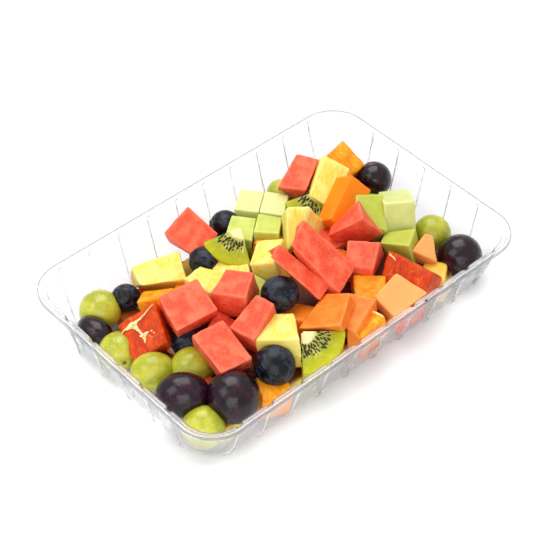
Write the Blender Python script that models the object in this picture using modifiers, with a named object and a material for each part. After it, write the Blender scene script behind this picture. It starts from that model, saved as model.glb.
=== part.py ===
"""Fruit salad in its clear ribbed tray.

The tray stands on the ground plane with its centre on the origin and its long side along X. The fruit is one
solid out to its uneven outline: the union of every cut piece, grape, berry and kiwi sector over a low mound.
The last rows of each list of cut blocks are the lower layer that fills the gaps between the upper ones.
"""
from math import asin, cos, pi, radians, sin

import bmesh
import bpy
from mathutils import Euler, Matrix, Vector

MM = 0.001

# Tray: the rim is 9 by 6 inches
RIM_LENGTH = 228.0 * MM
RIM_WIDTH = 152.4 * MM
TRAY_HEIGHT = 36.0 * MM
RIM_CORNER = 21.5 * MM
FLANGE = 5.2 * MM
LIP_DROP = 1.6 * MM
LEDGE_HEIGHT = 34.0 * MM
LEDGE_STEP = 1.0 * MM
BASE_INSET_X = 11.2 * MM
BASE_INSET_Y = 13.4 * MM
BASE_CORNER = 21.0 * MM
BASE_ROUND = 3.2 * MM
SHEET = 0.5 * MM
CORNER_STEPS = 7
SMOOTH_ANGLE = radians(30)

# Ribs: shallow channels pressed outward from the flat panels
RIB_WIDTH = 5.0 * MM
RIB_FLANK = 1.3 * MM
RIB_DEPTH = 2.2 * MM
RIB_DEPTH_BASE = 2.0 * MM
RIBS_LONG = [offset * MM for offset in (-90, -70, -50, -30, -10, 10, 30, 50, 70, 90)]
RIBS_SHORT = [offset * MM for offset in (-41, -20.5, 0, 20.5, 41)]

# Fruit
WALL_GAP = 0.4 * MM
CUT_ROUND = 1.6 * MM
MOUND_ROUND = 4.0 * MM
# the tray's inner space carries on upward at the walls' slope, to this many times the ledge's height
SPACE_LIFT = 3.0
BALL_SEGMENTS = 12
BALL_RINGS = 7
KIWI_STEPS = 5
MOUND = [
    # low slabs under the pieces: x from, x to, y from, y to, z from, z to (mm)
    (-87, 85, -55, 36, -4, 14),
    (-76, 88, 30, 55, -4, 10),
    (-24, 97, 12, 50, -4, 13),
    (-62, 60, -44, 26, 6, 20),
]

# Knife-cut blocks: centre (mm), turn about X, Y and Z (degrees), size (mm), width of the +Y end over the
# -Y end, and where a cut ran off square, how far its corners are pulled (mm) in the block's own X, Y and Z.
# A corner's number adds 1 at the +X side, 2 at the +Y side and 4 at the +Z side.
WATERMELON = [
    ((-58, 5, 31), (15, -10, -15), (24, 22, 19), 0.95, {0: (1, 3, 1), 1: (1, 4, 2)}),
    ((-33, -4, 33), (5, -5, -60), (19, 18, 20), 0.80, {1: (-2, 2, 3), 3: (1, 3, 2)}),
    ((-64, -26, 26), (10, 5, -5), (20, 27, 18), 1.00, {0: (4, 4, 5), 1: (4, 2, 3), 2: (5, 3, 4)}),
    ((-37, -24, 29), (15, 0, -75), (16, 23, 18), 0.70),
    ((38, -27, 27), (20, -5, -55), (15, 16, 20), 1.20, {0: (-2, -4, -2), 1: (-5, -6, -2), 3: (0, 3, 0)}),
    ((-4, -17, 38), (35, -10, 17), (11, 35, 14), 0.95, {0: (5, -1, 3), 2: (6, -7, 4)}),
    ((11, -19, 41), (40, -5, 20), (20, 37, 12), 1.00, {2: (4, -6, 4), 7: (-1, 2, 0)}),
    ((50, -6, 32), (-125, -15, 60), (13, 25, 23), 1.00, {3: (0, -2, 5), 5: (-6, 5, -2)}),
    ((57, 43, 28), (20, 0, -65), (19, 24, 16), 0.68, {0: (-4, 3, 3), 1: (-8, 0, 2), 5: (-2, 2, 1)}),
    ((-18, 52, 26), (25, -20, 5), (19, 23, 18), 1.10, {0: (4, 2, 1), 1: (-6, 2, -1), 2: (2, -3, 0)}),
    ((-50, -11, 19), (20, 10, 30), (17, 16, 16), 1.00),
    ((35, 1, 20), (10, 25, 15), (17, 18, 16), 0.90),
    ((-79, -27, 9), (5, 10, 20), (16, 15, 15), 1.00),
    ((40, -57, 9), (0, 5, 10), (18, 15, 14), 1.00),
]
PINEAPPLE = [
    ((60, 29, 32), (25, 30, -50), (16, 27, 16), 1.15, {0: (3, 7, 4), 2: (3, 3, 2)}),
    ((23, 11, 32), (35, 5, -35), (14, 25, 20), 0.90, {1: (9, 11, 4), 3: (13, -7, 1), 5: (-4, 9, 1)}),
    ((-31, -38, 24), (-5, -10, -50), (23, 21, 20), 0.48),
    ((0, 5, 27), (0, -20, -55), (15, 20, 20), 1.10),
    ((-37, 15, 26), (-10, 5, 10), (20, 21, 15), 0.70),
    ((-46, 46, 17), (10, 5, -25), (26, 20, 20), 1.00, {0: (-1, 9, 6), 6: (-1, -4, -4)}),
    ((-18, 16, 21), (5, -10, -35), (20, 16, 15), 1.00),
    ((-61, -44, 10), (10, 0, 20), (15, 16, 14), 0.90),
    ((69, -51, 10), (-5, 10, 35), (17, 14, 15), 1.00),
]
HONEYDEW = [
    ((24, 51, 17), (-5, 0, -50), (14, 19, 20), 1.00),
    ((32, 40, 18), (-5, 5, -50), (14, 19, 20), 1.00),
    ((4, 36, 20), (-5, 5, -50), (15, 19, 20), 0.86),
    ((16, 26, 21), (-10, 0, -50), (14, 17, 20), 0.95),
    ((61, -2, 25), (15, 25, -30), (18, 20, 20), 0.85, {7: (1, 3, 2)}),
    ((81, -9, 25), (-115, 0, -35), (17, 18, 22), 1.00),
    ((66, -29, 17), (-5, -15, -50), (13, 15, 20), 1.30, {0: (-2, 6, 8), 4: (-3, 2, 3)}),
    ((79, 15, 12), (10, 5, 25), (17, 17, 16), 1.00),
    ((-20, -1, 21), (15, -10, 20), (16, 17, 16), 1.00),
]
CANTALOUPE = [
    ((-5, -45, 28), (5, -20, -60), (24, 24, 14), 0.95, {0: (-2, 5, 5), 1: (-2, 4, 5), 6: (7, 2, -2)}),
    ((8, -54, 24), (5, -15, -60), (11, 24, 16), 1.10, {4: (3, 1, -1), 5: (-2, -2, -1), 7: (2, -1, -2)}),
    ((35, -53, 21), (20, 25, -80), (15, 18, 17), 1.20, {7: (2, 4, 1)}),
    ((75, -35, 15), (15, 20, -55), (16, 13, 20), 0.50, {6: (1, 1, 1), 7: (-3, 2, 0)}),
    ((56, 9, 33), (25, 45, -50), (14, 30, 14), 1.10),
    ((28, -14, 20), (15, 5, 40), (18, 16, 15), 0.90),
    ((-14, -32, 20), (-10, 15, 25), (16, 18, 15), 1.00),
    ((12, -52, 9), (0, 10, 15), (20, 17, 15), 1.00),
]
ORANGE = [
    ((84, 40, 24), (25, -20, -5), (20, 19, 16), 1.00),
    ((-62, 27, 20), (-15, -25, -60), (14, 13, 16), 1.50),
    ((-52, -53, 10), (5, 5, -25), (17, 15, 17), 0.90),
    ((9, -61, 19), (5, -10, -85), (10, 19, 15), 1.00),
    ((-44, 27, 13), (15, 5, 30), (18, 15, 14), 1.00),
    ((29, -40, 19), (5, -15, 50), (16, 18, 15), 0.90),
    ((11, 19, 19), (10, 15, 20), (17, 16, 15), 1.00),
]
BLOOD_ORANGE = [
    ((-78, 18, 17), (25, -20, -30), (24, 24, 20), 1.05, {4: (4, -2, 0), 6: (2, -4, -2)}),
    ((52, -49, 24), (45, 0, -80), (29, 14, 16), 1.00, {4: (3, -3, 0), 6: (-1, 0, 1)}),
]

# Whole fruit: centre (mm), half-sizes (mm), turn about Z (degrees)
GREEN_GRAPES = [
    ((-82, 51.5, 12.5), (11.5, 11.5, 11.5), 0),
    ((-92, 22, 12), (11, 10.5, 10.5), -40),
    ((-88, -1, 12), (12, 10.5, 10.5), -40),
    ((-72, -14, 14), (12, 11, 11), -40),
    ((-93, -47, 12.5), (11, 11, 11), 0),
    ((93, -26, 13), (10.5, 10.5, 10.5), 0),
    ((47, 50, 20), (8, 8, 8), 0),
]
DARK_GRAPES = [
    ((-91, -29, 20), (14.2, 11.8, 11.8), -40),
    ((-73, -47, 20), (14, 14, 14), 0),
    ((90, -50, 14), (12.5, 12.5, 12.5), 0),
    ((94, 22, 21), (10.2, 10.2, 10.2), 0),
    ((-94, 40, 12), (8.5, 12.5, 9), 0),
]
BLUEBERRIES = [
    ((-68, 47, 16), (8, 8, 7.5), 0),
    ((7, 52, 19), (8.5, 8.5, 8), 0),
    ((-24, 33, 25), (8.5, 8.5, 8), 0),
    ((-16, -19, 34), (10, 10, 9.4), 0),
    ((-45, -47, 23), (11, 11, 10.4), 0),
    ((-63.5, 0.5, 15.5), (9.8, 9.8, 9.2), 0),
]

# Kiwi sectors: core on the cut face (mm), turn (degrees), radius (mm), thickness (mm), sweep (degrees)
KIWI = [
    ((-1, 29, 39), (-25, 10, 160), 22.5, 15, 80),
    ((55, 27, 33), (-25, 10, 155), 20.5, 13, 110),
    ((-24, -44, 31), (0, 25, -130), 23, 15, 90),
]

COLOURS = {
    "clear_sheet": ((0.90, 0.92, 0.93, 1.0), 0.08),
    "cut_fruit": ((0.80, 0.22, 0.10, 1.0), 0.35),
}


def clear_scene():
    for thing in list(bpy.data.objects):
        bpy.data.objects.remove(thing)


def make_collection(name):
    group = bpy.data.collections.new(name)
    bpy.context.scene.collection.children.link(group)
    return group


def make_material(name):
    colour, roughness = COLOURS[name]
    material = bpy.data.materials.new(name)
    material.use_nodes = True
    shader = material.node_tree.nodes["Principled BSDF"]
    shader.inputs["Base Color"].default_value = colour
    shader.inputs["Roughness"].default_value = roughness
    return material


def object_from_bmesh(name, bm, group):
    mesh = bpy.data.meshes.new(name)
    bmesh.ops.recalc_face_normals(bm, faces=bm.faces)
    bm.to_mesh(mesh)
    bm.free()
    thing = bpy.data.objects.new(name, mesh)
    group.objects.link(thing)
    return thing


def side_stations(ribs):
    """Positions along one side as (distance, outward step from 0 to 1), four points for each rib."""
    stations = []
    for centre in ribs:
        stations.append((centre - RIB_WIDTH / 2, 0.0))
        stations.append((centre - RIB_WIDTH / 2 + RIB_FLANK, 1.0))
        stations.append((centre + RIB_WIDTH / 2 - RIB_FLANK, 1.0))
        stations.append((centre + RIB_WIDTH / 2, 0.0))
    return stations


def arc_angle(along, half_side, corner):
    """How far round the corner a point at this distance along the side lies, zero on the straight."""
    return asin(max(0.0, abs(along) - (half_side - corner)) / corner)


def tray_outline(half_x, half_y, corner, rib_depth):
    """One closed loop round the tray, anticlockwise, with the same number of points at every height."""
    points = []
    sides = [
        (half_x, half_y, RIBS_SHORT, RIBS_LONG, 0.0),
        (half_y, half_x, RIBS_LONG, RIBS_SHORT, pi / 2),
        (half_x, half_y, RIBS_SHORT, RIBS_LONG, pi),
        (half_y, half_x, RIBS_LONG, RIBS_SHORT, 3 * pi / 2),
    ]
    for reach, half_side, ribs, next_ribs, heading in sides:
        turn = Matrix.Rotation(heading, 2)
        for along, step in side_stations(ribs):
            sagging = corner * (1 - cos(arc_angle(along, half_side, corner)))
            points.append(turn @ Vector((reach - sagging + step * rib_depth, along)))
        first = arc_angle(ribs[-1] + RIB_WIDTH / 2, half_side, corner)
        last = pi / 2 - arc_angle(next_ribs[-1] + RIB_WIDTH / 2, reach, corner)
        for index in range(CORNER_STEPS):
            angle = first + (last - first) * (index + 0.5) / CORNER_STEPS
            arc = Vector((cos(angle), sin(angle))) * corner
            points.append(turn @ (Vector((reach - corner, half_side - corner)) + arc))
    return points


def tray_levels():
    """The skin from under the floor up to under the flange and behind the lip, as half sizes, corner, rib
    depth and height. The sheet's thickness is laid on its inner side."""
    rim_x = RIM_LENGTH / 2
    rim_y = RIM_WIDTH / 2
    lip_x = rim_x - SHEET
    lip_y = rim_y - SHEET
    base_x = rim_x - BASE_INSET_X
    base_y = rim_y - BASE_INSET_Y
    wall_x = rim_x - FLANGE
    wall_y = rim_y - FLANGE
    wall_corner = RIM_CORNER - FLANGE
    return [
        (base_x - BASE_ROUND, base_y - BASE_ROUND, BASE_CORNER - BASE_ROUND, 0.0, 0.0),
        (base_x, base_y, BASE_CORNER, RIB_DEPTH_BASE, BASE_ROUND),
        (wall_x, wall_y, wall_corner, RIB_DEPTH, LEDGE_HEIGHT),
        (wall_x + RIB_DEPTH, wall_y + RIB_DEPTH, wall_corner + RIB_DEPTH, 0.0, LEDGE_HEIGHT + LEDGE_STEP),
        (lip_x - LEDGE_STEP, lip_y - LEDGE_STEP, RIM_CORNER - LEDGE_STEP, 0.0, TRAY_HEIGHT - SHEET),
        (lip_x, lip_y, RIM_CORNER, 0.0, TRAY_HEIGHT - LIP_DROP / 2),
        (lip_x, lip_y, RIM_CORNER, 0.0, TRAY_HEIGHT - LIP_DROP),
    ]


def bridge_rings(bm, lower, upper):
    count = len(lower)
    for index in range(count):
        after = (index + 1) % count
        bm.faces.new((lower[index], lower[after], upper[after], upper[index]))


def make_tray(group):
    bm = bmesh.new()
    rings = []
    for half_x, half_y, corner, rib_depth, height in tray_levels():
        outline = tray_outline(half_x, half_y, corner, rib_depth)
        rings.append([bm.verts.new((point.x, point.y, height)) for point in outline])
    for lower, upper in zip(rings, rings[1:]):
        bridge_rings(bm, lower, upper)
    bm.faces.new(list(reversed(rings[0])))
    mesh = bpy.data.meshes.new("tray")
    bm.to_mesh(mesh)
    bm.free()
    tray = bpy.data.objects.new("tray", mesh)
    group.objects.link(tray)
    sheet = tray.modifiers.new("sheet", "SOLIDIFY")
    sheet.thickness = SHEET
    sheet.offset = -1.0
    mesh.shade_smooth()
    mesh.set_sharp_from_angle(angle=SMOOTH_ANGLE)
    return tray


def place(thing, centre, turn):
    thing.location = Vector(centre) * MM
    thing.rotation_euler = Euler([radians(angle) for angle in turn])


def make_block(name, row, group):
    """A knife-cut block with slightly rounded edges, its +Y end tapered and its pulled corners moved."""
    centre, turn, size, taper = row[:4]
    pulls = row[4] if len(row) > 4 else {}
    bm = bmesh.new()
    bmesh.ops.create_cube(bm, size=1.0)
    for vert in bm.verts:
        corner = sum(bit for bit, side in zip((1, 2, 4), vert.co) if side > 0)
        width = taper if vert.co.y > 0 else 1.0
        square = Vector((vert.co.x * size[0] * width, vert.co.y * size[1], vert.co.z * size[2]))
        vert.co = (square + Vector(pulls.get(corner, (0, 0, 0)))) * MM
    bmesh.ops.bevel(bm, geom=list(bm.edges), offset=CUT_ROUND, segments=1, affect="EDGES")
    bmesh.ops.triangulate(bm, faces=list(bm.faces))
    block = object_from_bmesh(name, bm, group)
    place(block, centre, turn)
    return block


def make_ball(name, centre, half_sizes, turn, group):
    bm = bmesh.new()
    bmesh.ops.create_uvsphere(bm, u_segments=BALL_SEGMENTS, v_segments=BALL_RINGS, radius=MM)
    bmesh.ops.scale(bm, vec=half_sizes, verts=bm.verts)
    ball = object_from_bmesh(name, bm, group)
    place(ball, centre, (0, 0, turn))
    return ball


def make_kiwi_sector(name, core, turn, radius, thickness, sweep, group):
    """A sector of a thick kiwi slice, with its cut face on the local XY plane and its core at the origin."""
    bm = bmesh.new()
    outline = [Vector((0, 0, 0))]
    for index in range(KIWI_STEPS + 1):
        angle = radians(sweep) * index / KIWI_STEPS
        outline.append(Vector((cos(angle), sin(angle), 0)) * radius * MM)
    face = bm.faces.new([bm.verts.new(point) for point in outline])
    extruded = bmesh.ops.extrude_face_region(bm, geom=[face])
    lower = [item for item in extruded["geom"] if isinstance(item, bmesh.types.BMVert)]
    bmesh.ops.translate(bm, verts=lower, vec=(0, 0, -thickness * MM))
    sector = object_from_bmesh(name, bm, group)
    place(sector, core, turn)
    return sector


def make_mound(index, west, east, south, north, low, high, group):
    bm = bmesh.new()
    bmesh.ops.create_cube(bm, size=1.0)
    bmesh.ops.scale(bm, vec=Vector((east - west, north - south, high - low)) * MM, verts=bm.verts)
    middle = Vector((west + east, south + north, low + high)) * MM / 2
    bmesh.ops.translate(bm, verts=bm.verts, vec=middle)
    bmesh.ops.bevel(bm, geom=list(bm.edges), offset=MOUND_ROUND, segments=1, affect="EDGES")
    return object_from_bmesh(f"mound_{index}", bm, group)


def make_tray_space(group):
    """The room inside the tray, which every piece of fruit is kept within."""
    bm = bmesh.new()
    levels = tray_levels()
    floor_x, floor_y, floor_corner, _, _ = levels[0]
    base_x, base_y, base_corner, _, _ = levels[1]
    wall_x, wall_y, wall_corner, _, _ = levels[2]
    gap = SHEET + WALL_GAP
    high_x = wall_x + (wall_x - base_x) * (SPACE_LIFT - 1)
    high_y = wall_y + (wall_y - base_y) * (SPACE_LIFT - 1)
    heights = [
        (floor_x - gap, floor_y - gap, floor_corner, gap),
        (base_x - gap, base_y - gap, base_corner, BASE_ROUND + gap),
        (high_x - gap, high_y - gap, wall_corner, LEDGE_HEIGHT * SPACE_LIFT),
    ]
    rings = []
    for half_x, half_y, corner, height in heights:
        outline = tray_outline(half_x, half_y, corner, 0.0)
        rings.append([bm.verts.new((point.x, point.y, height)) for point in outline])
    for lower, upper in zip(rings, rings[1:]):
        bridge_rings(bm, lower, upper)
    bm.faces.new(list(reversed(rings[0])))
    bm.faces.new(rings[-1])
    return object_from_bmesh("tray_space", bm, group)


def make_pieces(group):
    blocks = {
        "watermelon": WATERMELON,
        "pineapple": PINEAPPLE,
        "honeydew": HONEYDEW,
        "cantaloupe": CANTALOUPE,
        "orange": ORANGE,
        "blood_orange": BLOOD_ORANGE,
    }
    balls = {"green_grape": GREEN_GRAPES, "dark_grape": DARK_GRAPES, "blueberry": BLUEBERRIES}
    for kind, rows in blocks.items():
        for index, row in enumerate(rows):
            make_block(f"{kind}_{index}", row, group)
    for kind, rows in balls.items():
        for index, (centre, half_sizes, turn) in enumerate(rows):
            make_ball(f"{kind}_{index}", centre, half_sizes, turn, group)
    for index, (core, turn, radius, thickness, sweep) in enumerate(KIWI):
        make_kiwi_sector(f"kiwi_{index}", core, turn, radius, thickness, sweep, group)


def keep_outer_shell(mesh):
    """Fill the gaps trapped between pieces, by keeping only the outermost shell."""
    bm = bmesh.new()
    bm.from_mesh(mesh)
    unseen = set(bm.verts)
    shells = []
    while unseen:
        edge_of_shell = [unseen.pop()]
        shell = set(edge_of_shell)
        while edge_of_shell:
            vert = edge_of_shell.pop()
            for edge in vert.link_edges:
                other = edge.other_vert(vert)
                if other in unseen:
                    unseen.remove(other)
                    shell.add(other)
                    edge_of_shell.append(other)
        shells.append(shell)
    shells.sort(key=len)
    for shell in shells[:-1]:
        bmesh.ops.delete(bm, geom=list(shell), context="VERTS")
    bm.to_mesh(mesh)
    bm.free()


def apply_modifiers(thing):
    evaluated = thing.evaluated_get(bpy.context.evaluated_depsgraph_get())
    mesh = bpy.data.meshes.new_from_object(evaluated)
    thing.modifiers.clear()
    thing.data = mesh
    keep_outer_shell(mesh)


def make_fruit_heap(group, guides):
    make_pieces(guides)
    heap = make_mound(0, *MOUND[0], group)
    heap.name = "fruit_heap"
    for index, slab in enumerate(MOUND[1:], start=1):
        make_mound(index, *slab, guides)
    union = heap.modifiers.new("pieces", "BOOLEAN")
    union.operation = "UNION"
    union.operand_type = "COLLECTION"
    union.collection = guides
    apply_modifiers(heap)
    space_group = make_collection("tray_space")
    # EXACT leaves this cut open at the walls, where many flat faces lie in one plane
    trim = heap.modifiers.new("tray_space", "BOOLEAN")
    trim.operation = "INTERSECT"
    trim.solver = "MANIFOLD"
    trim.object = make_tray_space(space_group)
    apply_modifiers(heap)
    for guide in list(guides.objects) + list(space_group.objects):
        guide.hide_render = True
        guide.display_type = "WIRE"
    return heap


def main():
    clear_scene()
    group = make_collection("fruit_salad")
    guides = make_collection("pieces")
    tray = make_tray(group)
    tray.data.materials.append(make_material("clear_sheet"))
    heap = make_fruit_heap(group, guides)
    heap.data.materials.clear()
    heap.data.materials.append(make_material("cut_fruit"))


main()
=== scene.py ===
"""Looks for the fruit salad in its clear ribbed tray.

The cut pieces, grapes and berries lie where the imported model's heap has them. Sizes in the tables are in
millimetres and turns in degrees, as in the model's own source.
"""

from math import cos, pi, radians, sin

import bpy
import numpy as np
from mathutils import Euler, Matrix, Vector


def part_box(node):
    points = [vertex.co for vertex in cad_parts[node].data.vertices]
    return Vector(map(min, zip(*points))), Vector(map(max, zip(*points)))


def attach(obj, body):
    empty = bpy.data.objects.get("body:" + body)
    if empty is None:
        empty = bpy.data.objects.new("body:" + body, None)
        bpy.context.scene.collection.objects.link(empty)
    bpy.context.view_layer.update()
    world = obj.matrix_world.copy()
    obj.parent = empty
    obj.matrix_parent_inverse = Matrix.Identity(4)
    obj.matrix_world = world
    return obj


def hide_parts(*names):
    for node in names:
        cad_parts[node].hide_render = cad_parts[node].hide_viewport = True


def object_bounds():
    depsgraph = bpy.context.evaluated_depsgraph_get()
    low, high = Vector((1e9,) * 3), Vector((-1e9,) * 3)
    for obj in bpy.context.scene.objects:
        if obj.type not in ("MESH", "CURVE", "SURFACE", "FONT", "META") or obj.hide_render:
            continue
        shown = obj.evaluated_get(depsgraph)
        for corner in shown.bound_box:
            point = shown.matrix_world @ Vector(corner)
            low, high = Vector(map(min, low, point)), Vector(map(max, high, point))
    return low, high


MM = 0.001

# Tray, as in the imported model
SHEET = 0.5
BASE_INSET = (11.2, 13.4)
BASE_CORNER = 21.0
BASE_ROUND = 3.2
RIM_CORNER = 21.5
FLANGE = 5.2
LEDGE_HEIGHT = 34.0
LEDGE_ROUND = 0.6
LEDGE_STEP = 1.0
LIP_DROP = 1.6
RIB_WIDTH = 5.0
RIB_FLANK = 1.3
RIB_DEPTH = 2.2
RIB_PITCH_LONG = 20.0
RIB_PITCH_SHORT = 20.5
RIB_REACH_SHORT = 45.0
RIB_SHARE_LOW = 0.9
LIP_RINGS = 3
CREASE_ANGLE = 50
OUTLINE_STEP = 0.62
ROUND_STEPS = 6
WALL_STEPS = 8

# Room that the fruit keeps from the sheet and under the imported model's top
WALL_GAP = 0.3
TOP_GAP = 0.3

# Knife-cut blocks: centre, turn about X, Y and Z, size, width of the +Y end over the -Y end, and where a
# cut ran off square, how far its corners are pulled, in the block's own X, Y and Z. A corner's number adds
# 1 at the +X side, 2 at the +Y side and 4 at the +Z side.
WATERMELON = [
    ((-58, 5, 31), (15, -10, -15), (24, 22, 19), 0.95, {0: (1, 3, 1), 1: (1, 4, 2)}),
    ((-33, -4, 33), (5, -5, -60), (19, 18, 20), 0.80, {1: (-2, 2, 3), 3: (1, 3, 2)}),
    ((-64, -26, 26), (10, 5, -5), (20, 27, 18), 1.00, {0: (4, 4, 5), 1: (4, 2, 3), 2: (5, 3, 4)}),
    ((-37, -24, 29), (15, 0, -75), (16, 23, 18), 0.70),
    ((38, -27, 27), (20, -5, -55), (15, 16, 20), 1.20, {0: (-2, -4, -2), 1: (-5, -6, -2), 3: (0, 3, 0)}),
    ((-4, -17, 38), (35, -10, 17), (11, 35, 14), 0.95, {0: (5, -1, 3), 2: (6, -7, 4)}),
    ((11, -19, 41), (40, -5, 20), (20, 37, 12), 1.00, {2: (4, -6, 4), 7: (-1, 2, 0)}),
    ((50, -6, 32), (-125, -15, 60), (13, 25, 23), 1.00, {3: (0, -2, 5), 5: (-6, 5, -2)}),
    ((57, 43, 28), (20, 0, -65), (19, 24, 16), 0.68, {0: (-4, 3, 3), 1: (-8, 0, 2), 5: (-2, 2, 1)}),
    ((-18, 52, 26), (25, -20, 5), (19, 23, 18), 1.10, {0: (4, 2, 1), 1: (-6, 2, -1), 2: (2, -3, 0)}),
    ((-50, -11, 19), (20, 10, 30), (17, 16, 16), 1.00),
    ((35, 1, 20), (10, 25, 15), (17, 18, 16), 0.90),
    ((-79, -27, 9), (5, 10, 20), (16, 15, 15), 1.00),
    ((40, -57, 9), (0, 5, 10), (18, 15, 14), 1.00),
]
PINEAPPLE = [
    ((60, 29, 32), (25, 30, -50), (16, 27, 16), 1.15, {0: (3, 7, 4), 2: (3, 3, 2)}),
    ((23, 11, 32), (35, 5, -35), (14, 25, 20), 0.90, {1: (9, 11, 4), 3: (13, -7, 1), 5: (-4, 9, 1)}),
    ((-31, -38, 24), (-5, -10, -50), (23, 21, 20), 0.48),
    ((0, 5, 27), (0, -20, -55), (15, 20, 20), 1.10),
    ((-37, 15, 26), (-10, 5, 10), (20, 21, 15), 0.70),
    ((-46, 46, 17), (10, 5, -25), (26, 20, 20), 1.00, {0: (-1, 9, 6), 6: (-1, -4, -4)}),
    ((-18, 16, 21), (5, -10, -35), (20, 16, 15), 1.00),
    ((-61, -44, 10), (10, 0, 20), (15, 16, 14), 0.90),
    ((69, -51, 10), (-5, 10, 35), (17, 14, 15), 1.00),
]
HONEYDEW = [
    ((24, 51, 17), (-5, 0, -50), (14, 19, 20), 1.00),
    ((32, 40, 18), (-5, 5, -50), (14, 19, 20), 1.00),
    ((4, 36, 20), (-5, 5, -50), (15, 19, 20), 0.86),
    ((16, 26, 21), (-10, 0, -50), (14, 17, 20), 0.95),
    ((61, -2, 25), (15, 25, -30), (18, 20, 20), 0.85, {7: (1, 3, 2)}),
    ((81, -9, 25), (-115, 0, -35), (17, 18, 22), 1.00),
    ((66, -29, 17), (-5, -15, -50), (13, 15, 20), 1.30, {0: (-2, 6, 8), 4: (-3, 2, 3)}),
    ((79, 15, 12), (10, 5, 25), (17, 17, 16), 1.00),
    ((-20, -1, 21), (15, -10, 20), (16, 17, 16), 1.00),
]
CANTALOUPE = [
    ((-5, -45, 28), (5, -20, -60), (24, 24, 14), 0.95, {0: (-2, 5, 5), 1: (-2, 4, 5), 6: (7, 2, -2)}),
    ((8, -54, 24), (5, -15, -60), (11, 24, 16), 1.10, {4: (3, 1, -1), 5: (-2, -2, -1), 7: (2, -1, -2)}),
    ((35, -53, 21), (20, 25, -80), (15, 18, 17), 1.20, {7: (2, 4, 1)}),
    ((75, -35, 15), (15, 20, -55), (16, 13, 20), 0.50, {6: (1, 1, 1), 7: (-3, 2, 0)}),
    ((56, 9, 33), (25, 45, -50), (14, 30, 14), 1.10),
    ((28, -14, 20), (15, 5, 40), (18, 16, 15), 0.90),
    ((-14, -32, 20), (-10, 15, 25), (16, 18, 15), 1.00),
    ((12, -52, 9), (0, 10, 15), (20, 17, 15), 1.00),
]
ORANGE = [
    ((84, 40, 24), (25, -20, -5), (20, 19, 16), 1.00),
    ((-62, 27, 20), (-15, -25, -60), (14, 13, 16), 1.50),
    ((-52, -53, 10), (5, 5, -25), (17, 15, 17), 0.90),
    ((9, -61, 19), (5, -10, -85), (10, 19, 15), 1.00),
    ((-44, 27, 13), (15, 5, 30), (18, 15, 14), 1.00),
    ((29, -40, 19), (5, -15, 50), (16, 18, 15), 0.90),
    ((11, 19, 19), (10, 15, 20), (17, 16, 15), 1.00),
]
BLOOD_ORANGE = [
    ((-78, 18, 17), (25, -20, -30), (24, 24, 20), 1.05, {4: (4, -2, 0), 6: (2, -4, -2)}),
    ((52, -49, 24), (45, 0, -80), (29, 14, 16), 1.00, {4: (3, -3, 0), 6: (-1, 0, 1)}),
]

# Whole fruit: centre, half-sizes, turn about Z, and which way the stem end or crown points before the turn
GREEN_GRAPES = [
    ((-82, 51.5, 12.5), (11.5, 11.5, 11.5), 0, (1, 0, 0)),
    ((-92, 22, 12), (11, 10.5, 10.5), -40, (0.3, -1, 0.1)),
    ((-88, -1, 12), (12, 10.5, 10.5), -40, (1, 0, 0)),
    ((-72, -14, 14), (12, 11, 11), -40, (-1, 0, 0.2)),
    ((-93, -47, 12.5), (11, 11, 11), 0, (-1, 0.3, -0.3)),
    ((93, -26, 13), (10.5, 10.5, 10.5), 0, (0.2, 1, 0)),
    ((47, 50, 20), (8, 8, 8), 0, (0, 1, 0.2)),
]
DARK_GRAPES = [
    ((-91, -29, 20), (14.2, 11.8, 11.8), -40, (1, 0, 0.1)),
    ((-73, -47, 20), (14, 14, 14), 0, (0.2, 0.6, 0.5)),
    ((90, -50, 14), (12.5, 12.5, 12.5), 0, (0, 1, -0.2)),
    ((94, 22, 21), (10.2, 10.2, 10.2), 0, (0.1, 0.4, 1)),
    ((-94, 40, 12), (8.5, 12.5, 9), 0, (0, 1, 0)),
]
BLUEBERRIES = [
    ((-68, 47, 16), (8, 8, 7.5), 0, (-0.5, -0.4, 0.8)),
    ((7, 52, 19), (8.5, 8.5, 8), 0, (-1, 0.4, 0.2)),
    ((-24, 33, 25), (8.5, 8.5, 8), 0, (-0.6, 0.3, 0.7)),
    ((-16, -19, 34), (10, 10, 9.4), 0, (0.4, 1, -0.2)),
    ((-45, -47, 23), (11, 11, 10.4), 0, (1, 0.6, -0.4)),
    ((-63.5, 0.5, 15.5), (9.8, 9.8, 9.2), 0, (0, -1, 0)),
]

# How deep or pale each melon block is, from 0 to 1; every other block has the plain tone
PLAIN_TONE = 0.5
TONES = {
    "cantaloupe": [0.5, 0.55, 0.95, 0.95, 0.0, 0.4, 0.3, 0.6],
    "honeydew": [0.9, 1.0, 0.45, 0.4, 0.15, 0.8, 0.1, 0.5, 0.4],
}

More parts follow.
